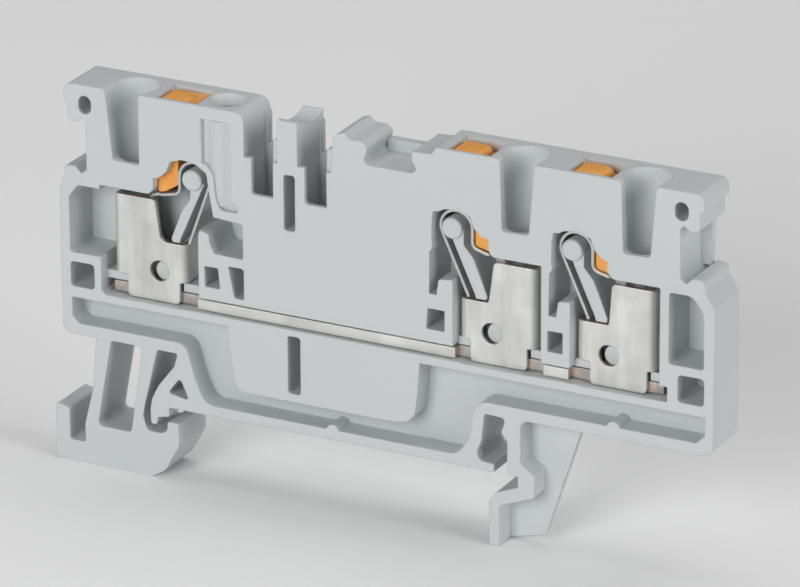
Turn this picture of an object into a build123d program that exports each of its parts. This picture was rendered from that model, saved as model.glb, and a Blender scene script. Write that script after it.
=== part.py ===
from build123d import *
from math import asin, atan2, cos, pi, radians, sin, tan
import os

# Feed-through terminal block for 2.5 square mm wires, with one push-in clamp at the left and two at the
# right. x runs along the block, y from its open front to its closed back, z up from the face that rests
# on the rail. The origin is the middle of the rail, halfway through the block's thickness.

# Overall size
overall_length = 66.5
thickness = 5.1
top_height = 29.95
foot_depth = 7.15
springy_foot_reach = 29.7
springy_foot_overhang = 0.95
underside_height = 5.5

# Rail
rail_width = 35.0
rail_side_gap = 0.25
rail_lip = 1.0
rail_lip_gap = 0.45

# Walls of the moulding
front_skin = 0.9
back_wall = 0.8
floor_wall = 0.8
groove_depth = 2.3
web_thickness = 0.6
mouth_wall = 0.4
mouth_depth = 3.55
slot_wall = 0.5
corner_radius = 1.0

# Ears and their peg holes
ear_inset_left = 0.6
ear_inset_right = 1.1
ear_stem = 2.3
ear_lobe_step = 0.42
peg_hole_width = 1.32
peg_hole_height = 1.74
peg_hole_inset = 2.2
peg_hole_drop = 1.87
ear_back_reach = 1.0
marker_back_height = 1.1

# Clamp cells: each is laid out from its wire axis towards its spring boss
left_cell_inset = 7.05
right_cell_inset = 7.6
cell_pitch = 11.8
wire_bore_radius = 1.25
funnel_mouth_radius = 2.15
funnel_neck_radius = 1.7
funnel_setback = 2.15
funnel_floor = 23.15
funnel_end = 22.0
lip_radius = 0.35

# Clamp cages
sheet = 0.4
cage_setback = 0.75
cage_rise = 9.75
cage_ledge_rise = 5.8
cage_side_rise = 2.05
cage_slope_foot = 2.95
cage_rear_step = 1.6
cage_rear_drop = 1.0
cage_window_rise = 2.91
cage_window_radius = 1.0
cage_fold_radius = 0.85
cage_gap = 0.15
cage_far_room = 0.9
cage_shelf_setback = 1.2
window_peg_radius = 0.95
window_peg_shift = 0.35
window_peg_drop = 0.08

# Bus bar
bar_thickness = 1.0
bar_seat_height = 10.05
bar_gap = 0.1
bar_end_reach = 2.2
bar_setback = 0.5

# Springs and their bosses
strip = 0.26
loop_radius = 1.56
boss_rise = 2.7
boss_drop = 0.15
boss_radius = 1.0
boss_chamfer = 0.12
boss_setback = 0.55
arm_setback = 0.85
spring_gap = 0.15
spring_foot_gap = 0.25
tip_start = 2.3

# Release buttons
button_travel = 1.5
button_gap = 0.1
hump_sink = 0.08
hump_setback = 0.45
hump_rounding = 0.5
toe_step = 0.55
toe_rise = 2.4
nose_lift = 0.8
nose_flat = 0.8
nose_tilt = 0.14
head_clearance = 2.45

# Jumper slots and the fin between them
jumper_place = 20.95
jumper_pitch = 5.4
jumper_half_width = 1.1
jumper_floor = 22.35
jumper_step = 25.8
jumper_lip_left = 0.75
jumper_lip_right = 0.42
jumper_sump = 20.2
jumper_back_lip = 0.2
fin_dip = 0.78

# Test bore in the top of the left block
test_place = 16.15
test_radius = 1.2
test_mouth_radius = 1.8
test_mouth_depth = 1.0
test_depth = 5.4

# Places that follow from the sizes above
left_end = -springy_foot_reach
right_end = left_end + overall_length
body_left = left_end + springy_foot_overhang
slot_half = rail_width / 2 + rail_side_gap
interior_depth = thickness - back_wall
middle_depth = thickness / 2
bar_top = bar_seat_height + bar_thickness
cage_top = bar_seat_height + cage_rise
cage_ledge = bar_seat_height + cage_ledge_rise
cage_side_end = bar_seat_height + cage_side_rise
cage_window_height = bar_seat_height + cage_window_rise
spring_foot_height = cage_ledge + spring_foot_gap
boss_height = cage_top + boss_rise
toe_top = cage_top + toe_rise
bus_floor = bar_seat_height - bar_gap
bus_roof = bar_top + 3.5 * bar_gap
groove_roof = bus_floor - floor_wall
cage_front = cage_setback
cage_back = interior_depth - cage_gap
cage_foot = bar_seat_height - bar_gap / 2
spring_front = cage_front + sheet + spring_gap
spring_back = cage_back - sheet - spring_gap
shelf_top = cage_side_end - bar_gap
near_gap = 2 * bar_gap

# What differs from clamp to clamp. Places are measured from the wire axis towards the spring's loop, and
# heights from the cage's top. "slot" has the two sides of the funnel's slot, each at its foot and at the
# top; "hump" is where the button's hump starts and ends, from the left edge of its mouth, and the radius of
# its rear corner; "ledge" is how deep the rest of the button's head lies below the top.
cells = {
    "left": {
        "axis": body_left + left_cell_inset,
        "side": 1,
        "slot": ((1.3, 1.3), (1.45, 2.15)),
        "near": 5.58,
        "far": 2.0,
        "near_wall": 7.25,
        "slope": 2.36,
        "ledge_radius": 0.75,
        "tongue": (4.85, 0.5),
        "window": 2.8,
        "foot": 5.9,
        "loop": 6.55,
        "loop_wall": 8.55,
        "boss": 6.34,
        "neck": ((6.05, 0.6), (5.2, -0.55)),
        "arm_foot": 4.03,
        "arm_gaps": (0.85, 0.42),
        "head": (3.1, 7.08),
        "hump": (0.12, 3.0, 1.5),
        "ledge": 0.38,
        "toe": 2.68,
        "nose_rise": 0.95,
    },
}
for name, inset, cage_shift, slope, tongue_far, window, toe in (
    ("mid", right_cell_inset + cell_pitch, 0.0, 2.42, 0.82, 2.66, 2.6),
    ("right", right_cell_inset, 0.25, 2.66, 0.75, 2.95, 2.8),
):
    cells[name] = {
        "axis": right_end - inset,
        "side": -1,
        "slot": ((1.3, 1.5), (1.35, 1.9)),
        "near": 5.95 + cage_shift,
        "far": 1.68 - cage_shift,
        "near_wall": 5.95 + cage_shift + near_gap,
        "slope": slope,
        "ledge_radius": 0.3,
        "tongue": (4.75, tongue_far),
        "window": window,
        "foot": 4.95,
        "loop": 6.15,
        "loop_wall": 8.25,
        "boss": 6.52,
        "neck": ((5.46, 1.05), (4.53, 0.0)),
        "arm_foot": 3.12,
        "arm_gaps": (0.53, 0.53),
        "head": (2.65, 6.65),
        "hump": (0.12, 3.3, 1.1),
        "ledge": 1.0,
        "toe": toe,
        "nose_rise": 0.35,
    }
jumper_places = [body_left + jumper_place, body_left + jumper_place + jumper_pitch]
test_x = body_left + test_place


def outline(corners):
    # A closed face in the front plane from (x, z) or (x, z, radius) corners. A radius is held back where
    # the two sides beside it are short.
    points = [Vector(c[0], 0, c[1]) for c in corners]
    radii = [c[2] if len(c) > 2 else 0 for c in corners]
    count = len(points)
    starts, ends, arcs = [], [], []
    for i, here in enumerate(points):
        to_last = points[i - 1] - here
        to_next = points[(i + 1) % count] - here
        half_turn = radians(to_last.get_angle(to_next)) / 2
        straight = abs(half_turn - pi / 2) < 0.01
        if radii[i] == 0 or straight:
            starts.append(here)
            ends.append(here)
            arcs.append(None)
            continue
        reach = min(radii[i] / tan(half_turn), 0.48 * to_last.length, 0.48 * to_next.length)
        radius = reach * tan(half_turn)
        inward = (to_last.normalized() + to_next.normalized()).normalized()
        starts.append(here + to_last.normalized() * reach)
        ends.append(here + to_next.normalized() * reach)
        arcs.append(here + inward * (radius / sin(half_turn) - radius))
    edges = []
    for i in range(count):
        if arcs[i] is not None:
            edges.append(ThreePointArc(starts[i], arcs[i], ends[i]))
        after = starts[(i + 1) % count]
        if (after - ends[i]).length > 1e-6:
            edges.append(Line(ends[i], after))
    return Face(Wire(edges))


def slab(corners, front, back):
    # A prism with the outline as its front view, between two depths behind the open front
    face = outline(corners).moved(Location((0, front - middle_depth, 0)))
    return Solid.extrude(face, Vector(0, back - front, 0))


def block(x0, x1, z0, z1, front, back, radius=0):
    return slab([(x0, z0, radius), (x1, z0, radius), (x1, z1, radius), (x0, z1, radius)], front, back)


def in_cell(cell, corners):
    return [(cell["axis"] + cell["side"] * c[0],) + tuple(c[1:]) for c in corners]


def cell_slab(cell, corners, front, back):
    return slab(in_cell(cell, corners), front, back)


def cell_block(cell, u0, u1, z0, z1, front, back, radius=0):
    corners = [(u0, z0, radius), (u1, z0, radius), (u1, z1, radius), (u0, z1, radius)]
    return cell_slab(cell, corners, front, back)


def round_bar(x, z, radius, front, back):
    # A cylinder that runs in the depth direction
    plane = Plane(origin=(x, front - middle_depth, z), x_dir=(1, 0, 0), z_dir=(0, 1, 0))
    return Solid.make_cylinder(radius, back - front, plane)


def cell_round(cell, u, z, radius, front, back):
    return round_bar(cell["axis"] + cell["side"] * u, z, radius, front, back)


def upright(x, radius, z0, z1, top_radius=None):
    plane = Plane(origin=(x, 0, z0), z_dir=(0, 0, 1))
    if top_radius is None:
        return Solid.make_cylinder(radius, z1 - z0, plane)
    return Solid.make_cone(radius, top_radius, z1 - z0, plane)


def joined(first, others):
    return first.fuse(*others).clean()


def write(name, shape):
    solids = shape.solids()
    export_step(solids[0] if len(solids) == 1 else shape, f"parts/{name}.step")
    print(name, len(solids), "solid, volume", round(shape.volume, 2))


def ear(outer, side):
    # From the ear's inner top corner round its two lobes and the groove below, down to the shoulder.
    # side is -1 at the left end and 1 at the right end.
    lobe = outer - side * ear_lobe_step
    stem = outer - side * ear_stem
    return [
        (outer - side * 0.1, top_height, 1.0),
        (outer, top_height - 1.45, 0.15),
        (lobe, top_height - 1.8, 0.15),
        (lobe, top_height - 3.6, 0.6),
        (stem + side * 0.9, top_height - 3.6, 0.3),
        (stem + side * 0.4, top_height - 3.15, 0.2),
        (stem, top_height - 3.5, 0.1),
        (stem + side * 0.05, top_height - 8.15),
        (stem + side * 0.6, top_height - 8.55, 0.15),
        (stem + side * 1.25, top_height - 7.95, 0.1),
        (outer + side * 0.05, top_height - 8.0, 0.35),
        (outer + side * 0.1, top_height - 9.0, 0.4),
    ]


def ear_back(outer, side):
    # The back wall runs on behind the notch below an ear
    stem = outer - side * ear_stem
    ends = sorted((stem - side * 0.5, stem + side * ear_back_reach))
    return block(*ends, top_height - 8.2, top_height - 3.3, interior_depth, thickness)


def marker_back():
    # The low wall behind the notch that holds a marker strip
    left = jumper_places[1] + jumper_half_width + jumper_lip_right
    floor = top_height - 2.8
    return block(left + 3.5, left + 8.3, floor - 0.3, floor + marker_back_height, interior_depth, thickness)


def marker_seat():
    # The ridge and the undercut notch that hold a marker strip, from right to left along the top
    left = jumper_places[1] + jumper_half_width + jumper_lip_right
    top = top_height
    return [
        (left + 10.45, top, 0.2),
        (left + 10.1, top - 0.65, 0.2),
        (left + 8.1, top - 0.75, 0.15),
        (left + 8.15, top - 1.6, 0.3),
        (left + 8.6, top - 2.45, 0.3),
        (left + 8.0, top - 2.8, 0.3),
        (left + 3.7, top - 2.8, 0.3),
        (left + 3.3, top - 2.4, 0.25),
        (left + 3.7, top - 1.2, 0.3),
        (left + 3.1, top - 0.65, 0.3),
        (left + 1.8, top - 0.65, 0.2),
        (left + 1.4, top - 0.1, 0.3),
        (left + 0.3, top - 0.5, 0.6),
    ]


def jumper_mouths():
    # The two through notches above the jumper slots, with the fin between them, from right to left
    corners = []
    for place in reversed(jumper_places):
        low_right = place + jumper_half_width
        low_left = place - jumper_half_width
        high_right = low_right + jumper_lip_right
        high_left = low_left - jumper_lip_left
        fin_side = place == jumper_places[1]
        corners += [] if fin_side else [(high_right, top_height, 0.2)]
        corners += [(high_right, jumper_step), (high_left, jumper_step)]
        corners += [(high_left, top_height, 0.2 if fin_side else corner_radius)]
    return corners


def body():
    # The body above and between the feet, as one slab of the full thickness
    ear_left = body_left + ear_inset_left
    ear_right = right_end - ear_inset_right
    corners = [(body_left, underside_height, corner_radius), (body_left, top_height - 10.5, 0.8)]
    corners += list(reversed(ear(ear_left, -1)))
    corners += list(reversed(marker_seat() + jumper_mouths()))
    corners += ear(ear_right, 1)
    corners += [(right_end, top_height - 10.5, 0.8), (right_end, underside_height, corner_radius)]
    corners += [(slot_half - 1.0, underside_height), (slot_half - 1.0, 0)]
    corners += [(-slot_half + 1.2, 0), (-slot_half + 1.2, underside_height)]
    return slab(corners, 0, thickness)


def springy_foot():
    # The left foot: its hook grips the rail's lip and its stem bends when the block snaps on
    sole = -foot_depth
    hook = -slot_half
    solid = slab([
        (left_end, sole, 0.5),
        (left_end, -1.65, 0.3),
        (left_end + 1.45, -2.0, 0.3),
        (left_end + 1.45, sole + 2.05, 0.3),
        (left_end + 3.1, sole + 2.05, 0.3),
        (left_end + 3.1, sole + 3.95, 0.5),
        (left_end + 4.05, 0.6, 1.0),
        (left_end + 4.5, underside_height + 1.0),
        (hook + 1.25, underside_height + 1.0),
        (hook + 1.25, 0.0),
        (hook + 0.95, -rail_lip),
        (hook + 1.0, -3.6, 1.5),
        (hook - 0.5, sole + 0.8, 1.5),
        (hook - 1.85, sole, 0.6),
    ], 0, thickness)
    window = slab([
        (left_end + 6.0, underside_height, 0.3),
        (left_end + 9.25, underside_height, 0.3),
        (left_end + 7.95, -3.2, 0.4),
        (left_end + 4.4, -3.2, 0.5),
    ], 0, thickness)
    return solid - window


def springy_foot_gap():
    # The winding gap behind the left hook, open to the rail's slot, and the small window beside it
    hook = -slot_half
    hook_top = -rail_lip - rail_lip_gap
    gap = slab([
        (hook - 1.15, underside_height, 0.3),
        (hook + 1.0, underside_height, 0.2),
        (hook + 0.65, 4.2, 0.5),
        (hook - 1.05, 2.0, 1.0),
        (hook - 1.75, 0.6, 1.0),
        (hook - 1.95, -0.5, 0.5),
        (hook - 1.9, -1.9, 0.2),
        (hook - 1.3, -1.9, 0.2),
        (hook - 1.2, -rail_lip - 0.15, 0.2),
        (hook, -rail_lip + 0.1, 0.1),
        (hook, 0),
        (hook + 2.6, 0),
        (hook + 2.6, hook_top),
        (hook - 0.15, hook_top, 0.12),
        (hook - 0.25, -2.35, 0.3),
        (hook - 0.85, -2.7, 0.4),
        (hook - 2.35, -2.7, 0.6),
        (hook - 2.75, -1.3, 0.5),
        (hook - 2.55, -0.2, 1.0),
    ], 0, thickness)
    corners = [(hook + 1.2, 3.15, 0.25), (hook + 2.15, 1.05, 0.25), (hook - 0.1, 1.45, 0.2)]
    window = slab(corners, 0, thickness)
    return [gap, window]


def stiff_foot():
    # The right foot: a bent rim of the full thickness with a thin web behind it
    sole = -foot_depth
    hook_top = -rail_lip - rail_lip_gap
    rim = slab([
        (slot_half - 1.25, underside_height + 1.0),
        (slot_half - 1.25, 0),
        (slot_half, 0),
        (slot_half, hook_top + 0.4, 0.1),
        (slot_half - 2.2, hook_top - 0.5, 0.15),
        (slot_half - 2.85, hook_top - 1.3, 0.3),
        (slot_half - 2.85, sole, 0.15),
        (slot_half - 1.8, sole, 0.3),
        (slot_half - 1.8, -3.15, 0.15),
        (slot_half + 1.6, -1.8, 0.4),
        (slot_half + 1.7, 0.3, 0.5),
        (slot_half + 0.25, 1.35, 0.4),
        (slot_half + 0.2, underside_height, 0.8),
        (slot_half + 2.0, underside_height),
        (slot_half + 2.0, underside_height + 1.0),
    ], 0, thickness)
    web = slab([
        (slot_half - 2.3, sole, 0.1),
        (slot_half + 1.7, sole + 0.95, 0.15),
        (slot_half + 5.65, underside_height + 0.5),
        (slot_half - 0.5, underside_height + 0.5),
        (slot_half - 0.5, 0.5),
        (slot_half + 0.4, -2.0),
        (slot_half - 2.3, -3.0),
    ], middle_depth - web_thickness / 2, middle_depth + web_thickness / 2)
    return [rim, web]


def stiff_foot_gap():
    # The hole between the body and the right foot, with its narrow way out to the rail
    return slab([
        (slot_half - 3.35, underside_height, 0.3),
        (slot_half - 1.2, underside_height - 0.1, 0.4),
        (slot_half - 1.65, 3.95, 0.3),
        (slot_half - 1.05, 3.2, 0.3),
        (slot_half - 1.05, -0.5),
        (slot_half - 2.4, -0.5),
        (slot_half - 2.4, 0.75),
        (slot_half - 3.8, 0.85, 0.5),
        (slot_half - 4.1, 1.6, 0.4),
        (slot_half - 3.65, 2.8, 0.5),
    ], 0, thickness)


def groove():
    # The band recess above the feet that dips between them, less the platform flush with the front
    left = body_left + 1.05
    right = right_end - 0.83
    high = underside_height + 1.1
    low = 1.0
    dip_left = -slot_half + 2.45
    dip_right = slot_half - 4.65
    band = slab([
        (left, groove_roof, 0.15),
        (left, high + 0.7, 0.1),
        (left + 0.7, high, 0.1),
        (dip_left - 0.65, high, 1.2),
        (dip_left + 0.3, low + 2.4, 3.0),
        (dip_left + 1.3, low, 1.6),
        (dip_right - 1.4, low, 1.6),
        (dip_right - 0.15, low + 1.9, 1.0),
        (dip_right + 0.3, high, 1.6),
        (right - 0.85, high, 0.1),
        (right, high + 0.8, 0.1),
        (right, groove_roof, 0.15),
    ], 0, groove_depth)
    platform = slab([
        (-11.55, groove_roof + 0.1),
        (-11.5, groove_roof - 1.0, 1.0),
        (-10.75, 2.95, 2.0),
        (-8.7, 2.95, 1.0),
        (4.9, 2.95, 1.0),
        (7.35, 3.3, 2.0),
        (7.75, groove_roof - 2.7, 0.8),
        (7.95, groove_roof + 0.1),
    ], 0, groove_depth)
    bumps = [round_bar(x, z - 0.15, 0.65, 0, groove_depth) for x, z in ((-0.9, low), (27.1, high))]
    return (band - platform) - bumps


def ring(cell, radius, setback, height):
    plane = Plane(origin=(cell["axis"], setback - middle_depth, height), z_dir=(0, 0, 1))
    return Wire.make_circle(radius, plane)


def slot_side(ends, height):
    # Where the slanted side of a funnel's slot is at a height
    return ends[0] + (ends[1] - ends[0]) * (height - funnel_floor) / (top_height - funnel_floor)


def funnel(cell):
    # A round funnel down to the wire bore, behind a thin front wall with an open slot
    over = top_height + 1.0
    widening = (funnel_mouth_radius - funnel_neck_radius) / (top_height - funnel_floor)
    cone = Solid.make_loft([
        ring(cell, funnel_mouth_radius + widening, funnel_setback, over),
        ring(cell, funnel_neck_radius, funnel_setback, funnel_floor),
        ring(cell, wire_bore_radius, middle_depth, funnel_end),
    ], ruled=True)
    near, far = cell["slot"]
    slot = cell_slab(cell, [
        (slot_side(near, over), over),
        (near[0], funnel_floor, 0.35),
        (-far[0], funnel_floor + 0.1, 0.35),
        (-slot_side(far, over), over),
    ], 0, funnel_setback)
    return [cone, slot, funnel_lip(cell, near, 1), funnel_lip(cell, far, -1)]


def funnel_lip(cell, ends, away):
    # Rounds the slot's edge at the top. away is 1 on the side of the loop and -1 on the other side.
    over = top_height + 1.0
    low = away * slot_side(ends, top_height - 1.0)
    high = away * ends[1]
    return cell_slab(cell, [
        (low - away * 0.3, over),
        (low - away * 0.3, top_height - 1.0),
        (low, top_height - 1.0),
        (high, top_height, lip_radius),
        (high + away * 0.8, top_height),
        (high + away * 0.8, over),
    ], 0, funnel_setback)


def wire_bore(cell):
    return upright(cell["axis"], wire_bore_radius, cage_top, funnel_end + 0.1)


def button_way(cell):
    # The channel in which a release button slides, with the ledge that stops its toe
    mouth = (mouth_wall, mouth_wall + mouth_depth)
    depth = (front_skin, mouth[1])
    head_far, head_near = cell["head"]
    head_floor = boss_height + head_clearance
    toe = cell["toe"]
    leg_far = toe + toe_step - button_gap
    leg_near = cell["loop"] - loop_radius - strip / 2
    foot = cage_top - button_travel / 2
    return [
        cell_block(cell, head_far - button_gap, head_near + button_gap, head_floor, top_height + 1, *mouth),
        cell_block(cell, leg_far, leg_near, foot, head_floor + 0.5, *depth),
        cell_block(cell, toe - button_gap * 1.5, leg_near, foot, toe_top + button_gap / 2, *depth),
    ]


def cage_room(cell):
    # The cavity of one clamp as far as it is the same in all of them, in the front view
    near_wall = cell["near_wall"]
    toe = cell["toe"]
    tongue_near, tongue_far = cell["tongue"]
    far_wall = -cell["far"] - cage_far_room
    return cell_slab(cell, [
        (far_wall, cage_top + 0.8, 0.1),
        (2.3, cage_top + 0.8, 0.5),
        (toe, cage_top + 1.45, 0.1),
        (toe, toe_top, 0.05),
        (3.25, toe_top + 0.1, 0.1),
        (4.0, boss_height + 0.45, 0.2),
        (4.45, boss_height + 1.55, 0.3),
        (5.6, boss_height + 1.95, 0.8),
        (7.0, boss_height + 1.8, 1.0),
        (8.2, boss_height + 1.1, 0.8),
        (cell["loop_wall"], boss_height - 1.5),
        (near_wall, cage_ledge + 1.65),
        (near_wall, bus_floor + 0.3),
        (tongue_near + 0.5, cage_foot - 0.1, 0.3),
        (-tongue_far - 0.6, cage_foot - 0.1, 0.3),
        (far_wall, bus_floor + 0.3),
    ], 0, interior_depth)


def left_pocket():
    # The stepped space to the right of the left clamp, joined to its cavity
    low = cage_ledge
    return cell_slab(cells["left"], [
        (7.0, low + 0.75),
        (7.0, low + 4.65),
        (8.4, low + 6.15),
        (8.85, low + 3.65),
        (11.85, low + 3.45, 0.3),
        (11.85, low + 0.05, 0.1),
        (8.9, low + 0.1, 0.2),
        (8.4, low + 1.05, 0.3),
        (8.35, low + 1.9, 0.3),
        (7.3, low + 2.15, 0.1),
    ], 0, interior_depth)


def spring_way(cell):
    # The space beside a right-hand spring, above the step that its foot leans over
    low = cage_ledge
    return cell_slab(cell, [
        (5.0, low + 0.5),
        (4.9, boss_height - 0.5),
        (7.5, boss_height + 1.5),
        (8.1, boss_height + 1.45, 0.2),
        (8.2, low + 4.5),
        (8.45, low + 4.2),
        (8.5, low + 0.15, 0.1),
        (7.75, low + 0.15, 0.05),
        (7.55, low + 1.65, 0.15),
        (5.2, low + 2.0, 0.1),
        (5.1, low + 0.65, 0.1),
        (5.9, low + 0.5),
    ], 0, interior_depth)


def bus_channel():
    left = cells["left"]["axis"] - bar_end_reach - 0.4
    right = cells["right"]["axis"] + bar_end_reach + 0.9
    return block(left, right, bus_floor, bus_roof, 0, interior_depth, 0.1)


def spring_line(cell):
    # The foot of a spring's back leg, and the direction in which the leg rises to the loop
    foot = Vector(cell["foot"], spring_foot_height)
    reach = Vector(cell["loop"], boss_height) - foot
    return foot, atan2(reach.Y, reach.X) - asin(loop_radius / reach.length)


def boss_and_arm(cell):
    # The round boss inside a spring's loop, and the arm that stiffens it down to the cage
    foot, heading = spring_line(cell)
    along = Vector(cos(heading), sin(heading))
    across = Vector(-sin(heading), cos(heading))
    middle = boss_height - boss_drop
    foot_gap, top_gap = cell["arm_gaps"]
    back_foot = foot + across * (strip / 2 + foot_gap)
    back_top = foot + across * (strip / 2 + top_gap)
    back_top += along * ((middle - 0.3 - back_top.Y) / along.Y)
    neck, step = cell["neck"]
    arm = cell_slab(cell, [
        (neck[0], middle),
        (neck[0], cage_top + neck[1], 0.3),
        (step[0], cage_top + step[1], 0.5),
        (cell["arm_foot"], cage_ledge + 0.45),
        (cell["arm_foot"] + 0.15, cage_ledge + 0.15),
        (back_foot.X - 0.1, cage_ledge + 0.15),
        (back_foot.X, back_foot.Y),
        (back_top.X, back_top.Y),
        (back_top.X - 0.2, middle),
    ], arm_setback, interior_depth + 0.1)
    boss = cell_round(cell, cell["boss"], middle, boss_radius, boss_setback, interior_depth + 0.1)
    front = boss.edges().filter_by(lambda e: e.center().Y < boss_setback - middle_depth + 0.01)
    return [arm, boss.chamfer(boss_chamfer, None, front)]


def cage_shelves(cell):
    # The two thin shelves beside the cage's tongue that its side walls stand on
    depth = (cage_shelf_setback, interior_depth + 0.1)
    tongue_near, tongue_far = cell["tongue"]
    near_span = (tongue_near + near_gap, cell["near_wall"] + 0.1)
    far_span = (-cell["far"] - cage_far_room - 0.1, -tongue_far - near_gap)
    low = bar_top + 1.5 * bar_gap
    return [cell_block(cell, *span, low, shelf_top, *depth, 0.08) for span in (near_span, far_span)]


def window_peg(cell, radius, front, back):
    # The peg seen through the cage's round window, off its middle, or the hole for it in the sheet behind
    x = cell["axis"] + cell["side"] * cell["window"] + window_peg_shift
    return round_bar(x, cage_window_height - window_peg_drop, radius, front, back)


def pockets():
    # Blind pockets that keep the walls of the moulding even
    left = body_left
    right = right_end
    deep = interior_depth - 0.1
    low = bar_seat_height + 2.55
    high = low + 2.0
    mid, far = cells["mid"]["axis"], cells["right"]["axis"]
    return [
        slab([(left + 0.95, 13.55, 0.3), (left + 4.2, 13.55, 0.3), (left + 4.2, 20.2, 0.3),
              (left + 1.9, 20.2, 0.6), (left + 0.95, 19.0, 0.5)], 0, deep),
        block(left + 0.95, left + 3.45, 10.2, 12.65, 0, deep, 0.4),
        slab([(right - 4.4, 13.6, 0.3), (right - 1.0, 13.6, 0.3), (right - 1.05, 18.9, 1.0),
              (right - 2.2, 20.35, 1.0), (right - 4.4, 20.35, 0.3)], 0, deep),
        block(right - 3.5, right - 0.95, 10.15, 12.75, 0, deep, 0.4),
        slab([(left + 14.95, low, 0.1), (left + 16.5, low, 0.1), (left + 16.3, high, 0.1),
              (left + 14.9, high, 0.1)], 0, deep),
        slab([(left + 17.95, low - 0.6, 0.3), (left + 18.95, low - 0.6, 0.15),
              (left + 18.95, high + 0.4, 0.3), (left + 17.35, high + 0.4, 0.1)], 0, deep),
        block(jumper_places[0] + 2.15, jumper_places[0] + 3.3, 19.5, 24.85, 0, deep, 0.3),
        block(-5.4, -4.1, 3.75, groove_roof + 0.2, 0, deep, 0.3),
        slab([(mid - 8.8, low, 0.1), (mid - 6.95, low, 0.1), (mid - 6.95, high, 0.1),
              (mid - 8.65, high, 0.1)], 0, deep),
        block(far - 8.6, far - 7.1, low, high, 0, deep, 0.1),
    ]


def jumper_slots():
    # Each slot is narrow in the front wall and as wide as its mouth behind it
    cuts = []
    for place in jumper_places:
        x0, x1 = place - jumper_half_width, place + jumper_half_width
        cuts.append(slab([(x0, jumper_floor, 0.3), (x1, jumper_floor, 0.1), (x1, jumper_step + 0.1),
                          (x0, jumper_step + 0.1)], 0, slot_wall + 0.1))
        cuts.append(block(x0 - jumper_lip_left, x1 + jumper_lip_right, jumper_sump, jumper_step + 0.1,
                          slot_wall, interior_depth))
    return cuts


def fin_saddle():
    # The dip across the top of the fin between the jumper slots, behind its front wall
    low = jumper_places[0] + jumper_half_width
    high = jumper_places[1] - jumper_half_width
    front = Vector(low, slot_wall - middle_depth, top_height)
    deepest = Vector(low, 0.1, top_height - fin_dip)
    back = Vector(low, middle_depth + 0.1, top_height - 0.25)
    over = Vector(0, 0, 1.0)
    edges = [ThreePointArc(front, deepest, back), Line(back, back + over), Line(back + over, front + over),
             Line(front + over, front)]
    return Solid.extrude(Face(Wire(edges)), Vector(high - low, 0, 0))


def jumper_back_lips():
    # The back wall stands out a little on both sides of each jumper mouth
    lips = []
    for place in jumper_places:
        left = place - jumper_half_width - jumper_lip_left
        right = place + jumper_half_width + jumper_lip_right
        for x0, x1 in ((left - 0.1, left + jumper_back_lip), (right - jumper_back_lip, right + 0.1)):
            lips.append(block(x0, x1, jumper_step - 0.1, top_height - 1.2, interior_depth, thickness))
    return lips


def jumper_ribs():
    # The low rib on the right-hand wall of each jumper slot that a jumper clicks past
    ribs = []
    low = jumper_step - 0.2
    for place in jumper_places:
        wall = place + jumper_half_width - 0.2
        behind = place + jumper_half_width + jumper_lip_right + 0.1
        corners = [(wall, low), (behind, low), (behind, low + 2.3), (wall, low + 2.2, 0.1)]
        ribs.append(slab(corners, slot_wall, interior_depth + 0.1))
    return ribs


def test_recess():
    # The shallow recess in front of the test bore
    left = test_x - 1.4
    return slab([
        (left, 28.75, 0.1),
        (left + 2.95, 28.75, 0.4),
        (left + 3.0, 21.2, 0.1),
        (left + 3.65, 21.0, 0.1),
        (left + 3.65, 20.25, 0.1),
        (left + 1.9, 20.25, 0.5),
        (left + 1.4, 21.3, 0.5),
        (left + 1.15, 23.6, 0.6),
        (left + 0.5, 24.4, 0.3),
        (left, 24.5, 0.1),
    ], 0, front_skin * 0.55)


def test_ridge():
    # The bore's round wall, seen as a low ridge in that recess
    low, high = 20.5, 28.6
    tube = upright(test_x + 0.1, middle_depth - front_skin * 0.3, low, high)
    return tube & block(test_x - 0.75, test_x + 1.2, low, high, 0, front_skin)


def test_bore():
    mouth_floor = top_height - test_mouth_depth
    bore = upright(test_x, test_radius, top_height - test_depth, mouth_floor + 0.1)
    mouth = upright(test_x, test_radius, mouth_floor, top_height, test_mouth_radius)
    return [bore, mouth, upright(test_x, test_mouth_radius, top_height, top_height + 0.5)]


def peg_hole(ear_outer, side):
    x = ear_outer - side * peg_hole_inset
    z = top_height - peg_hole_drop
    reach = (peg_hole_height - peg_hole_width) / 2
    radius = peg_hole_width / 2
    return [
        round_bar(x, z + reach, radius, 0, interior_depth),
        round_bar(x, z - reach, radius, 0, interior_depth),
        block(x - radius, x + radius, z - reach, z + reach, 0, interior_depth),
    ]


def housing():
    solid = joined(body(), [springy_foot()] + stiff_foot())
    cuts = springy_foot_gap() + [stiff_foot_gap(), groove(), bus_channel(), left_pocket(), test_recess()]
    cuts += jumper_slots() + pockets() + test_bore()
    cuts += peg_hole(body_left + ear_inset_left, -1) + peg_hole(right_end - ear_inset_right, 1)
    for cell in cells.values():
        cuts += funnel(cell) + button_way(cell) + [wire_bore(cell), cage_room(cell)]
    cuts += [spring_way(cells["mid"]), spring_way(cells["right"])]
    solid = solid.cut(*cuts, fin_saddle())
    fills = jumper_ribs() + jumper_back_lips() + [test_ridge(), marker_back()]
    fills += [ear_back(body_left + ear_inset_left, -1), ear_back(right_end - ear_inset_right, 1)]
    for cell in cells.values():
        fills += boss_and_arm(cell) + cage_shelves(cell)
        fills.append(window_peg(cell, window_peg_radius, cage_front + sheet + bar_gap, interior_depth + 0.1))
    return joined(solid, fills)


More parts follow.
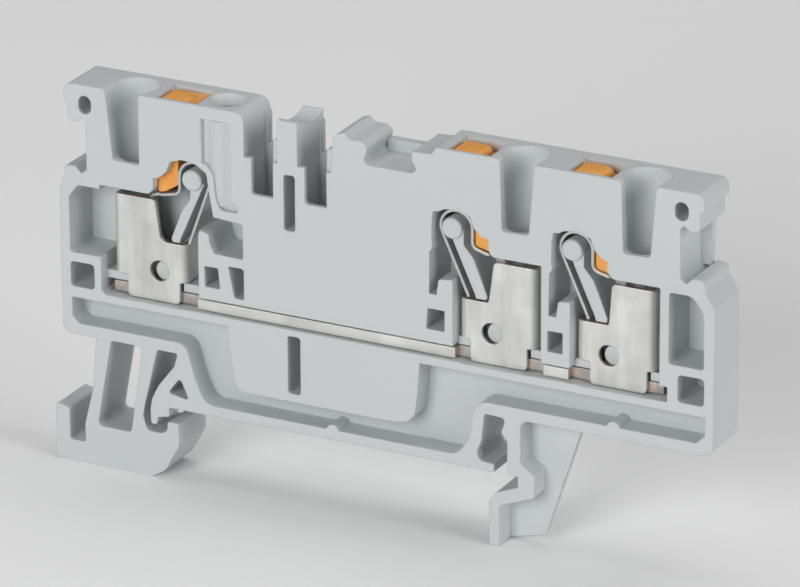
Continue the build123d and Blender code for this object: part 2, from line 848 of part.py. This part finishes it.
def clamp_cage(cell):
    # A folded box, open at its top and foot, with the spring's corner cut away
    far, near = -cell["far"], cell["near"]
    slope = cell["slope"]
    tongue_near, tongue_far = cell["tongue"]
    depth = (cage_front - middle_depth, cage_back - middle_depth)
    centre = cell["axis"] + cell["side"] * (near + far) / 2
    length, width = near - far, depth[1] - depth[0]
    plan = Plane(origin=(centre, (depth[0] + depth[1]) / 2, cage_foot - 1))
    height = cage_top - cage_foot + 2
    outer = Solid.extrude(plan * Face.make_rect(length, width), Vector(0, 0, height))
    outer = outer.fillet(cage_fold_radius, outer.edges().filter_by(Axis.Z))
    inner = Solid.extrude(plan * Face.make_rect(length - 2 * sheet, width - 2 * sheet), Vector(0, 0, height))
    inner = inner.fillet(cage_fold_radius - sheet, inner.edges().filter_by(Axis.Z))
    view = cell_slab(cell, [
        (far, cage_side_end, 0.1),
        (far, cage_top, 0.5),
        (slope, cage_top, 0.45),
        (cage_slope_foot, cage_ledge, cell["ledge_radius"]),
        (near, cage_ledge, 0.1),
        (near, cage_side_end, 0.1),
        (tongue_near, cage_side_end, 0.1),
        (tongue_near, cage_foot, 0.4),
        (-tongue_far, cage_foot, 0.4),
        (-tongue_far, cage_side_end, 0.1),
    ], 0, thickness)
    rear_cut = cell_slab(cell, [
        (slope - cage_rear_step, cage_top + 1),
        (cage_slope_foot - cage_rear_step, cage_ledge - cage_rear_drop, 0.5),
        (near + 1, cage_ledge - cage_rear_drop),
        (near + 1, cage_top + 1),
    ], cage_back - sheet, thickness)
    window = cell_round(cell, cell["window"], cage_window_height, cage_window_radius, 0, middle_depth)
    peg_room = window_peg(cell, window_peg_radius + bar_gap, middle_depth, thickness)
    return ((outer - inner) & view) - window - peg_room - rear_cut


def bus_bar():
    # One flat strip, necked where it runs through each cage and wide between them
    left = cells["left"]["axis"] - bar_end_reach
    right = cells["right"]["axis"] + bar_end_reach
    narrow = (cage_front + sheet + bar_gap, cage_back - sheet - bar_gap)
    wide = (bar_setback, cage_back)
    solid = block(left, right, bar_seat_height, bar_top, *narrow, 0.1)
    first, second, third = cells["left"], cells["mid"], cells["right"]
    spans = [
        (first["axis"] + first["near"] + 1.25, second["axis"] - second["near"] - 0.2),
        (second["axis"] + second["far"] + 0.9, third["axis"] - third["near"] - 0.55),
    ]
    return joined(solid, [block(a, b, bar_seat_height, bar_top, *wide, 0.12) for a, b in spans])


def strip_outline(path):
    # The edge view of a bent strip from the corners (u, z, radius) of its middle line
    sides = ([], [])
    for i, corner in enumerate(path):
        here = Vector(corner[0], corner[1])
        ways = []
        if i > 0:
            ways.append((here - Vector(*path[i - 1][:2])).normalized())
        if i < len(path) - 1:
            ways.append((Vector(*path[i + 1][:2]) - here).normalized())
        normals = [Vector(-way.Y, way.X) for way in ways]
        mean = normals[0] + normals[-1]
        mitre = mean * (1 / (1 + normals[0].dot(normals[-1])))
        turn = ways[0].cross(ways[-1]).Z
        for side, sign in zip(sides, (1, -1)):
            place = here + mitre * (sign * strip / 2)
            radius = max(corner[2] - (sign if turn > 0 else -sign) * strip / 2, 0) if corner[2] else 0
            side.append((place.X, place.Y, radius))
    return sides[0] + sides[1][::-1]


def leaf_spring(cell):
    # A straight back leg, a loop over the boss, and a leg that narrows and bends down into the cage
    foot, heading = spring_line(cell)
    turn = (3 * pi / 2 - heading) / 3
    loop = cell["loop"]
    path = [(foot.X, foot.Y, 0)]
    for step in range(3):
        outward = heading + (step + 0.5) * turn - pi / 2
        reach_out = loop_radius / cos(turn / 2)
        path.append((loop + reach_out * cos(outward), boss_height + reach_out * sin(outward), loop_radius))
    path += [(loop - loop_radius, cage_top + 1.0, 0.7), (3.1, cage_top + 0.6, 1.5)]
    tip = [(1.8, cage_top + 0.15, 0.8), (0.5, cage_top - 1.6, 0.6), (0.3, cage_top - 2.7, 0)]
    whole = cell_slab(cell, strip_outline(path + tip), cage_front, spring_back)
    return whole - cell_block(cell, -cell["far"], tip_start, cage_top - 4, cage_top + 2, 0, spring_front)


def release_button(cell):
    # The head fills the mouth in the top and has a hump; the leg beside the loop ends in a nose
    ends = sorted(cell["axis"] + cell["side"] * place for place in cell["head"])
    ledge = top_height - cell["ledge"]
    head_floor = boss_height + head_clearance + button_travel + button_gap
    mouth = (mouth_wall + button_gap, mouth_wall + mouth_depth - button_gap)
    head = block(*ends, head_floor, ledge, *mouth, 0.1)
    start, end, corner = cell["hump"]
    rear = mouth[1] - hump_setback
    left = ends[0] - button_gap
    hump = block(left + start, left + end, head_floor + 0.1, top_height - hump_sink, mouth[0], rear)
    uprights = hump.edges().filter_by(Axis.Z).sort_by(lambda edge: edge.center().X + edge.center().Y)
    hump = hump.fillet(corner, [uprights[-1]])
    hump = hump.fillet(hump_rounding, hump.edges().group_by(Axis.Z)[-1])
    toe = cell["toe"]
    nose = cage_top + nose_lift
    into_head = (head_floor + ledge) / 2
    near_side = cell["loop"] - loop_radius - strip / 2 - button_gap
    leg = cell_slab(cell, [
        (toe, toe_top, 0.1),
        (toe, nose + 0.15, 0.1),
        (toe + 0.15, nose, 0.1),
        (toe + nose_flat, nose + nose_tilt, 0.3),
        (near_side, nose + cell["nose_rise"], 0.4),
        (near_side, boss_height + 0.8),
        (near_side, into_head),
        (toe + toe_step, into_head),
        (toe + toe_step, toe_top),
    ], front_skin + button_gap, mouth[1])
    return joined(head, [hump, leg])


os.makedirs("parts", exist_ok=True)
write("housing", housing())
write("bus_bar", bus_bar())
for name, cell in cells.items():
    write(f"clamp_cage_{name}", clamp_cage(cell))
    write(f"leaf_spring_{name}", leaf_spring(cell))
    write(f"release_button_{name}", release_button(cell))
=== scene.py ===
from math import asin, atan2, cos, pi, radians, sin

import bmesh
import bpy
from mathutils import Matrix, Vector


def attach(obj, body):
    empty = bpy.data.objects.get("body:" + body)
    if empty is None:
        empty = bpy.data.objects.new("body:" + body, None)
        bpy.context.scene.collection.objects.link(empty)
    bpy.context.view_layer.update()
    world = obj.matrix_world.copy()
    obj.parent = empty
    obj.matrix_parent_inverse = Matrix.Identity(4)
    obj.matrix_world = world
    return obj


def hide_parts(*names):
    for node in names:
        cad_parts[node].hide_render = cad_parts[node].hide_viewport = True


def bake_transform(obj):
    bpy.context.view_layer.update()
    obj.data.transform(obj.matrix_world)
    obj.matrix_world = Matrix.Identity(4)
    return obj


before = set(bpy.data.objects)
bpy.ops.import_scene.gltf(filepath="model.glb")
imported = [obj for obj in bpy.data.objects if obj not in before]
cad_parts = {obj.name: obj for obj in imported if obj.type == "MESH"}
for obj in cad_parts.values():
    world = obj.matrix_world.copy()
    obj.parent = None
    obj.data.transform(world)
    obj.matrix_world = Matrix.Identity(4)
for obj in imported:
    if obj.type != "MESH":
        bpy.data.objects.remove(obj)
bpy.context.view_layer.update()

mm = 0.001
cells = ("left", "mid", "right")
mergeGap = 0.0005 * mm
sliverGap = 0.0002 * mm
softAngle = 28
print("frame loaded:", len(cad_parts), "nodes")


# A socket in a node tree: an expression on these values adds its own Math nodes
class Value:
    def __init__(self, nodes, socket):
        self.nodes = nodes
        self.socket = socket

    def math(self, operation, first, second):
        return self.nodes.add("ShaderNodeMath", {"operation": operation}, {0: first, 1: second})

    def __add__(self, other):
        return self.math("ADD", self, other)

    def __radd__(self, other):
        return self.math("ADD", other, self)

    def __sub__(self, other):
        return self.math("SUBTRACT", self, other)

    def __mul__(self, other):
        return self.math("MULTIPLY", self, other)

    def __rmul__(self, other):
        return self.math("MULTIPLY", other, self)


class Nodes:
    def __init__(self, tree):
        self.tree = tree

    def add(self, kind, settings, values, output=0):
        # Any node: its settings first, then the values or links of its sockets
        node = self.tree.nodes.new(kind)
        for key, setting in settings.items():
            if key == "stops":
                self.setStops(node.color_ramp, setting)
            else:
                setattr(node, key, setting)
        self.fill(node, values)
        return Value(self, node.outputs[output])

    def setStops(self, ramp, stops):
        # The two stops of a ramp, from one grey to another
        for element, (position, grey) in zip(ramp.elements, stops):
            element.position = position
            element.color = (grey, grey, grey, 1)

    def fill(self, node, values):
        for key, value in values.items():
            if isinstance(value, Value):
                self.tree.links.new(value.socket, node.inputs[key])
            else:
                node.inputs[key].default_value = value


bevelSamples = 6


class Shader(Nodes):
    def __init__(self, name):
        self.material = bpy.data.materials.new(name)
        self.material.use_nodes = True
        super().__init__(self.material.node_tree)
        self.surface = self.tree.nodes["Principled BSDF"]
        self.place = self.add("ShaderNodeTexCoord", {}, {}, "Object")

    def noise(self, scale, detail=2.0, stretch=(1, 1, 1)):
        # Noise of so many features a metre, drawn out along an axis by a smaller stretch
        spread = self.add("ShaderNodeMapping", {}, {"Vector": self.place, "Scale": stretch})
        return self.add("ShaderNodeTexNoise", {}, {"Vector": spread, "Scale": scale, "Detail": detail}, "Fac")

    def steps(self, factor, stops):
        return self.add("ShaderNodeValToRGB", {"stops": stops}, {"Fac": factor}, "Color")

    def mix(self, factor, first, second):
        return self.add("ShaderNodeMix", {"data_type": "RGBA"},
                        {"Factor": factor, "A": first, "B": second}, "Result")

    def bump(self, height, strength, distance, edge=0.0):
        values = {"Height": height, "Strength": strength, "Distance": distance}
        if edge:
            rounded = self.add("ShaderNodeBevel", {"samples": bevelSamples}, {"Radius": edge}, "Normal")
            values["Normal"] = rounded
        return self.add("ShaderNodeBump", {}, values, "Normal")

    def attribute(self, name):
        return self.add("ShaderNodeAttribute", {"attribute_name": name}, {}, "Fac")

    def done(self, values):
        self.fill(self.surface, values)
        return self.material


def tone(red, green, blue):
    # A colour as it shows on a screen, from 0 to 255, in Blender's linear numbers
    def linear(part):
        part /= 255
        return part / 12.92 if part < 0.04045 else ((part + 0.055) / 1.055) ** 2.4
    return (linear(red), linear(green), linear(blue), 1)


# Pale bluish grey moulding with a fine grain and soft edges
housingLook = {
    "pale": tone(200, 204, 205),
    "deep": tone(193, 198, 199),
    "cloudScale": 70.0,
    "cloudDetail": 3.0,
    "grainScale": 5200.0,
    "grainStrength": 0.35,
    "grainDepth": 0.006 * mm,
    "edge": 0.16 * mm,
    "roughness": (0.44, 0.56),
    "ior": 1.5,
}

# Soft orange moulding of the release buttons
buttonLook = {
    "pale": tone(244, 180, 94),
    "deep": tone(230, 150, 64),
    "cloudScale": 260.0,
    "cloudDetail": 2.0,
    "grainScale": 4200.0,
    "grainStrength": 0.3,
    "grainDepth": 0.005 * mm,
    "edge": 0.12 * mm,
    "roughness": (0.38, 0.52),
    "ior": 1.5,
}


def makeMouldingFinish(name, look):
    shader = Shader(name)
    cloud = shader.noise(look["cloudScale"], look["cloudDetail"])
    grain = shader.noise(look["grainScale"])
    low, high = look["roughness"]
    return shader.done({
        "Base Color": shader.mix(cloud, look["deep"], look["pale"]),
        "Roughness": low + (high - low) * grain,
        "Normal": shader.bump(grain, look["grainStrength"], look["grainDepth"], look["edge"]),
        "IOR": look["ior"],
    })


# Tinned copper sheet: satin, cloudy and streaked. Its cut edges show bare copper in patches, with a dark
# reddish brown between them that is painted shade
sheetLook = {
    "bright": tone(230, 230, 225),
    "dull": tone(204, 204, 199),
    "copper": tone(208, 150, 134),
    # Dark reddish brown, painted shade: a cut edge as it looks in shadow
    "paintedShade": tone(112, 84, 76),
    "cloudScale": 420.0,
    "cloudDetail": 4.0,
    "streakScale": 900.0,
    "streakDetail": 3.0,
    "streakStrength": 0.18,
    "streakDepth": 0.006 * mm,
    "streakShare": 0.5,
    "cageStretch": (1, 1, 0.12),
    "barStretch": (0.12, 1, 1),
    "wear": [(0.36, 0.0), (0.64, 1.0)],
    "patchScale": 800.0,
    "patchDetail": 3.0,
    "patches": [(0.44, 0.0), (0.6, 0.9)],
    "metal": 0.62,
    "roughness": (0.3, 0.46),
    "edge": 0.14 * mm,
}

# How much of the cut-face colour shows on a cut face, bare copper in patches with painted shade between them,
# and the normals and the place that tell such a face
cutFaces = {
    "cageRim": 0.8,
    "upward": 0.85,
    "barEnd": 0.7,
    "barNeck": 0.4,
    "sideways": 0.5,
    "neckFront": -1.6 * mm,
}


def makeSheetFinish(name, stretch):
    # The attribute cutEdge is how much the cut-face colour shows: bare copper in patches, with painted shade
    # between them
    look = sheetLook
    shader = Shader(name)
    cloud = shader.noise(look["cloudScale"], look["cloudDetail"])
    streak = shader.noise(look["streakScale"], look["streakDetail"], stretch)
    patch = shader.steps(shader.noise(look["patchScale"], look["patchDetail"]), look["patches"])
    low, high = look["roughness"]
    share = look["streakShare"]
    wear = shader.steps(cloud * (1 - share) + streak * share, look["wear"])
    tin = shader.mix(wear, look["dull"], look["bright"])
    # The cut-face colour: patches of copper over the painted shade, which is a dark reddish brown
    cut = shader.mix(patch, look["paintedShade"], look["copper"])
    return shader.done({
        "Base Color": shader.mix(shader.attribute("cutEdge"), tin, cut),
        "Metallic": look["metal"],
        "Roughness": low + (high - low) * cloud,
        "Normal": shader.bump(streak, look["streakStrength"], look["streakDepth"], look["edge"]),
    })


# Bright rolled strip of the leaf springs
springLook = {
    "bright": tone(222, 223, 222),
    "dull": tone(186, 187, 186),
    "rollScale": 2600.0,
    "rollDetail": 2.0,
    "rollStretch": (1, 0.15, 1),
    "rollStrength": 0.08,
    "rollDepth": 0.002 * mm,
    "metal": 0.8,
    "roughness": (0.26, 0.36),
}


def makeSpringFinish():
    look = springLook
    shader = Shader("spring_steel")
    roll = shader.noise(look["rollScale"], look["rollDetail"], look["rollStretch"])
    low, high = look["roughness"]
    return shader.done({
        "Base Color": shader.mix(roll, look["dull"], look["bright"]),
        "Metallic": look["metal"],
        "Roughness": low + (high - low) * roll,
        "Normal": shader.bump(roll, look["rollStrength"], look["rollDepth"]),
    })


def addObject(name, data):
    thing = bpy.data.objects.new(name, data)
    bpy.context.scene.collection.objects.link(thing)
    return thing


def mergedCopy(node, name):
    # A CAD node's form as one clean mesh, which then stands for the node
    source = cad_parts[node]
    mesh = source.data.copy()
    mesh.transform(source.matrix_world)
    form = bmesh.new()
    form.from_mesh(mesh)
    bmesh.ops.remove_doubles(form, verts=form.verts, dist=mergeGap)
    bmesh.ops.dissolve_degenerate(form, edges=form.edges, dist=sliverGap)
    form.to_mesh(mesh)
    form.free()
    return addObject(name, mesh)


def dress(piece, finish, node, body):
    piece.data.materials.clear()
    piece.data.materials.append(finish)
    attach(piece, body)
    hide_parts(node)


def turnOutwards(piece):
    # Joins a swept mesh's ends to its sides, and turns every face outwards
    form = bmesh.new()
    form.from_mesh(piece.data)
    bmesh.ops.remove_doubles(form, verts=form.verts, dist=mergeGap)
    bmesh.ops.recalc_face_normals(form, faces=form.faces)
    form.to_mesh(piece.data)
    form.free()


def softenShading(piece, angle=softAngle):
    # Smooth over shallow angles, sharp over the rest
    form = bmesh.new()
    form.from_mesh(piece.data)
    for face in form.faces:
        face.smooth = True
    for edge in form.edges:
        sharp = len(edge.link_faces) != 2 or edge.calc_face_angle(0) > radians(angle)
        edge.smooth = not sharp
    form.to_mesh(piece.data)
    form.free()


def markCutEdges(piece, share):
    # How much of the cut-face colour a face shows, copper in patches with painted shade between them: share
    # gives it for the face's normal and middle
    mark = piece.data.attributes.new("cutEdge", "FLOAT", "FACE")
    for face in piece.data.polygons:
        mark.data[face.index].value = share(face.normal, face.center)


def makeHousing():
    piece = mergedCopy("housing", "housing_moulding")
    softenShading(piece)
    finish = makeMouldingFinish("housing_plastic", housingLook)
    dress(piece, finish, "housing", "block")
    print("housing dressed:", len(piece.data.polygons), "faces")


def cageCopperAndShade(normal, middle):
    # Top cut faces take the cut-face colour: bare copper in patches, with painted shade between them
    return cutFaces["cageRim"] if normal.z > cutFaces["upward"] else 0.0


def makeCages():
    finish = makeSheetFinish("tinned_sheet", sheetLook["cageStretch"])
    for cell in cells:
        node = "clamp_cage_" + cell
        piece = mergedCopy(node, "cage_sheet_" + cell)
        softenShading(piece)
        markCutEdges(piece, cageCopperAndShade)
        dress(piece, finish, node, "block")
    print("cages dressed")


def barCopperAndShade(normal, middle):
    # Bare copper in patches, with painted shade between them, on the ends of the wide parts, and less of the
    # same through thin tin on the set-back front of the necks
    if abs(normal.x) > cutFaces["sideways"]:
        return cutFaces["barEnd"]
    setBack = normal.y < -cutFaces["sideways"] and middle.y > cutFaces["neckFront"]
    return cutFaces["barNeck"] if setBack else 0.0


def makeBusBar():
    finish = makeSheetFinish("tinned_bar", sheetLook["barStretch"])
    piece = mergedCopy("bus_bar", "bar_strip")
    softenShading(piece)
    markCutEdges(piece, barCopperAndShade)
    dress(piece, finish, "bus_bar", "block")
    print("bus bar dressed")


# The leaf springs, in millimetres. Along a cell, u runs from its wire's axis towards the spring's loop.
# A point of the strip's middle line has u, z, its bend's radius and, from 0 to 1, how narrow the strip is.
# The elbow below the loop leaves out u, because it lies straight under the loop's side. From there the leg
# runs to the tip. still and pressed say how far inside the loop's middle the strip starts to follow the
# button, and where it follows it in full.
springShape = {
    "strip": 0.26,
    "rounding": 0.04,
    "front": -1.8,
    "tipFront": -1.25,
    "back": 1.05,
    "loopRadius": 1.56,
    "loopHeight": 22.5,
    "loopCorners": 3,
    "footHeight": 16.1,
    "elbow": (20.8, 0.7, 0),
    "leg": [(3.1, 20.4, 1.5, 0), (2.75, 20.28, 0, 1), (1.8, 19.95, 0.8, 1), (0.5, 18.2, 0.6, 1),
            (0.3, 17.1, 0, 1)],
    "bendSteps": 12,
    "roundingSteps": 3,
    "stepLength": 0.12,
    "softAngle": 50,
    "still": 0.75,
    "pressed": 1.95,
    "blendHeight": 20.9,
}
springPlaces = {
    "left": {"axis": -21.7, "side": 1, "foot": 5.9, "loop": 6.55},
    "mid": {"axis": 17.4, "side": -1, "foot": 4.95, "loop": 6.15},
    "right": {"axis": 29.2, "side": -1, "foot": 4.95, "loop": 6.15},
}


def springLine(place):
    # The back leg rises on a tangent to the loop, which a few rounded corners make, up to its downward end
    look = springShape
    downward = 3 * pi / 2
    radius = look["loopRadius"]
    foot = Vector((place["foot"], look["footHeight"]))
    middle = Vector((place["loop"], look["loopHeight"]))
    reach = middle - foot
    heading = atan2(reach.y, reach.x) - asin(radius / reach.length)
    turn = (downward - heading) / look["loopCorners"]
    line = [(foot.x, foot.y, 0, 0)]
    for step in range(look["loopCorners"]):
        outward = heading + (step + 0.5) * turn - pi / 2
        corner = middle + Vector((cos(outward), sin(outward))) * (radius / cos(turn / 2))
        line.append((corner.x, corner.y, radius, 0))
    line.append((middle.x - radius, *look["elbow"]))
    return line + look["leg"]


def makeStripTree(finish):
    # Sweeps a rectangle with rounded edges along the middle line, stands the strip up, and then sets
    # the tip's front edge back
    look = springShape
    tree = bpy.data.node_groups.new("bentStrip", "GeometryNodeTree")
    tree.interface.new_socket("Line", in_out="INPUT", socket_type="NodeSocketGeometry")
    for name in ("Strip", "Width", "Rounding", "Middle", "Tip Front"):
        tree.interface.new_socket(name, in_out="INPUT", socket_type="NodeSocketFloat")
    tree.interface.new_socket("Solid", in_out="OUTPUT", socket_type="NodeSocketGeometry")
    nodes = Nodes(tree)
    given = tree.nodes.new("NodeGroupInput")
    sizes = {name: Value(nodes, given.outputs[name]) for name in given.outputs.keys() if name}
    bend = nodes.add("GeometryNodeInputNamedAttribute", {"data_type": "FLOAT"}, {"Name": "bend"})
    line = nodes.add("GeometryNodeMeshToCurve", {}, {"Mesh": sizes["Line"]})
    line = nodes.add("GeometryNodeFilletCurve", {"mode": "POLY"},
                     {"Curve": line, "Count": look["bendSteps"], "Radius": bend})
    line = nodes.add("GeometryNodeResampleCurve", {"mode": "LENGTH"},
                     {"Curve": line, "Length": look["stepLength"] * mm})
    line = nodes.add("GeometryNodeSetCurveNormal", {"mode": "Z_UP"}, {"Curve": line})
    edge = nodes.add("GeometryNodeCurvePrimitiveQuadrilateral", {"mode": "RECTANGLE"},
                     {"Width": sizes["Strip"], "Height": sizes["Width"]})
    edge = nodes.add("GeometryNodeFilletCurve", {"mode": "POLY"},
                     {"Curve": edge, "Count": look["roundingSteps"], "Radius": sizes["Rounding"]})
    solid = nodes.add("GeometryNodeCurveToMesh", {},
                      {"Curve": line, "Profile Curve": edge, "Fill Caps": True})
    turned = nodes.add("GeometryNodeTransform", {}, {"Geometry": solid, "Rotation": (pi / 2, 0, 0)})
    depth = nodes.add("ShaderNodeCombineXYZ", {}, {"Y": sizes["Middle"]})
    placed = nodes.add("GeometryNodeSetPosition", {}, {"Geometry": turned, "Offset": depth})
    here = nodes.add("GeometryNodeInputPosition", {}, {})
    y = nodes.add("ShaderNodeSeparateXYZ", {}, {"Vector": here}, "Y")
    narrow = nodes.add("GeometryNodeInputNamedAttribute", {"data_type": "FLOAT"}, {"Name": "narrow"})
    inward = nodes.add("ShaderNodeCombineXYZ", {}, {"Y": (sizes["Tip Front"] - y) * narrow})
    outside = nodes.add("FunctionNodeCompare", {"data_type": "FLOAT", "operation": "LESS_THAN"},
                        {"A": y, "B": sizes["Tip Front"]})
    narrowed = nodes.add("GeometryNodeSetPosition", {},
                         {"Geometry": placed, "Selection": outside, "Offset": inward})
    real = nodes.add("GeometryNodeRealizeInstances", {}, {"Geometry": narrowed})
    dressed = nodes.add("GeometryNodeSetMaterial", {}, {"Geometry": real, "Material": finish})
    result = tree.nodes.new("NodeGroupOutput")
    nodes.fill(result, {"Solid": dressed})
    return tree


def makeGuide(cell, place, tree, inputs):
    # The middle line as a mesh in the plane of x and y, with the sweep as its modifier
    axis, side = place["axis"], place["side"]
    line = springLine(place)
    mesh = bpy.data.meshes.new("spring_line_" + cell)
    mesh.from_pydata([((axis + side * u) * mm, z * mm, 0) for u, z, bend, narrow in line],
                     [(i, i + 1) for i in range(len(line) - 1)], [])
    bends = [bend * mm for u, z, bend, narrow in line]
    narrows = [narrow for u, z, bend, narrow in line]
    for title, values in (("bend", bends), ("narrow", narrows)):
        mesh.attributes.new(title, "FLOAT", "POINT").data.foreach_set("value", values)
    guide = addObject("spring_guide_" + cell, mesh)
    sweep = guide.modifiers.new("sweep", "NODES")
    sweep.node_group = tree
    for socket in tree.interface.items_tree:
        if socket.name in inputs:
            sweep[socket.identifier] = inputs[socket.name]
    return guide


def makeSprings():
    finish = makeSpringFinish()
    look = springShape
    tree = makeStripTree(finish)
    inputs = {
        "Strip": look["strip"] * mm,
        "Width": (look["back"] - look["front"]) * mm,
        "Rounding": look["rounding"] * mm,
        "Middle": (look["back"] + look["front"]) / 2 * mm,
        "Tip Front": look["tipFront"] * mm,
    }
    for cell, place in springPlaces.items():
        guide = makeGuide(cell, place, tree, inputs)
        swept = bpy.data.meshes.new_from_object(guide.evaluated_get(bpy.context.evaluated_depsgraph_get()))
        bpy.data.objects.remove(guide)
        piece = addObject("spring_strip_" + cell, swept)
        turnOutwards(piece)
        softenShading(piece, look["softAngle"])
        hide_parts("leaf_spring_" + cell)
        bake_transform(piece)
        print("spring", cell, "swept:", len(swept.polygons), "faces")


def makeButtons():
    finish = makeMouldingFinish("button_plastic", buttonLook)
    for cell in cells:
        node = "release_button_" + cell
        piece = mergedCopy(node, "button_moulding_" + cell)
        softenShading(piece)
        dress(piece, finish, node, "button_" + cell)
    print("buttons dressed")


# The pale table that the block stands on
floorLook = {
    "level": -7.15 * mm,
    "reach": 3.0,
    "pale": tone(247, 247, 247),
    "deep": tone(244, 244, 244),
    "cloudScale": 4.0,
    "roughness": 0.75,
    "specular": 0.2,
}


def makeFloor():
    look = floorLook
    reach = look["reach"]
    corners = [(-reach, -reach), (reach, -reach), (reach, reach), (-reach, reach)]
    mesh = bpy.data.meshes.new("table")
    mesh.from_pydata([(x, y, look["level"]) for x, y in corners], [], [(0, 1, 2, 3)])
    table = addObject("table", mesh)
    shader = Shader("pale_table")
    cloud = shader.noise(look["cloudScale"])
    mesh.materials.append(shader.done({
        "Base Color": shader.mix(cloud, look["deep"], look["pale"]),
        "Roughness": look["roughness"],
        "Specular IOR Level": look["specular"],
    }))
    print("table laid")


# The photograph's view
cameraLook = {
    "place": (266.337 * mm, -507.342 * mm, 243.459 * mm),
    "yaw": 27.280,
    "pitch": 21.868,
    "roll": -0.235,
    "lens": 309.505,
    "sensor": 36.0,
    "nearest": 0.01,
    "farthest": 20.0,
}


def makeCamera():
    look = cameraLook
    data = bpy.data.cameras.new("camera")
    data.lens = look["lens"]
    data.sensor_width = look["sensor"]
    data.clip_start = look["nearest"]
    data.clip_end = look["farthest"]
    camera = addObject("camera", data)
    camera.location = look["place"]
    turn = Matrix.Rotation(radians(look["yaw"]), 3, "Z")
    turn = turn @ Matrix.Rotation(radians(90 - look["pitch"]), 3, "X")
    turn = turn @ Matrix.Rotation(radians(look["roll"]), 3, "Z")
    camera.rotation_mode = "QUATERNION"
    camera.rotation_quaternion = turn.to_quaternion()
    bpy.context.scene.camera = camera
    print("camera placed")


# Soft boxes that face one point: where each stands and its size in metres, and its power in watts
lamps = {
    "front": {"place": (-0.1, -1.2, 0.45), "size": 0.7, "power": 10.4},
    "above": {"place": (0.0, 0.4, 1.3), "size": 1.5, "power": 8.8},
    "right": {"place": (1.2, -0.1, 0.45), "size": 0.7, "power": 7.4},
    "left": {"place": (-1.2, -0.2, 0.6), "size": 0.7, "power": 2.0},
}
lampAim = Vector((0, 0, 0.01))
room = {"colour": (1, 1, 1, 1), "strength": 0.03}


def makeLights():
    for name, look in lamps.items():
        data = bpy.data.lights.new("lamp_" + name, "AREA")
        data.size = look["size"]
        data.energy = look["power"]
        lamp = addObject("lamp_" + name, data)
        place = Vector(look["place"])
        lamp.location = place
        lamp.rotation_mode = "QUATERNION"
        lamp.rotation_quaternion = (lampAim - place).to_track_quat("-Z", "Y")
    world = bpy.data.worlds.new("room")
    world.use_nodes = True
    back = world.node_tree.nodes["Background"]
    back.inputs["Color"].default_value = room["colour"]
    back.inputs["Strength"].default_value = room["strength"]
    bpy.context.scene.world = world
    bpy.context.scene.view_settings.view_transform = "Standard"
    print("lights set")


makeHousing()
makeCages()
makeBusBar()
makeSprings()
makeButtons()
makeFloor()
makeCamera()
makeLights()
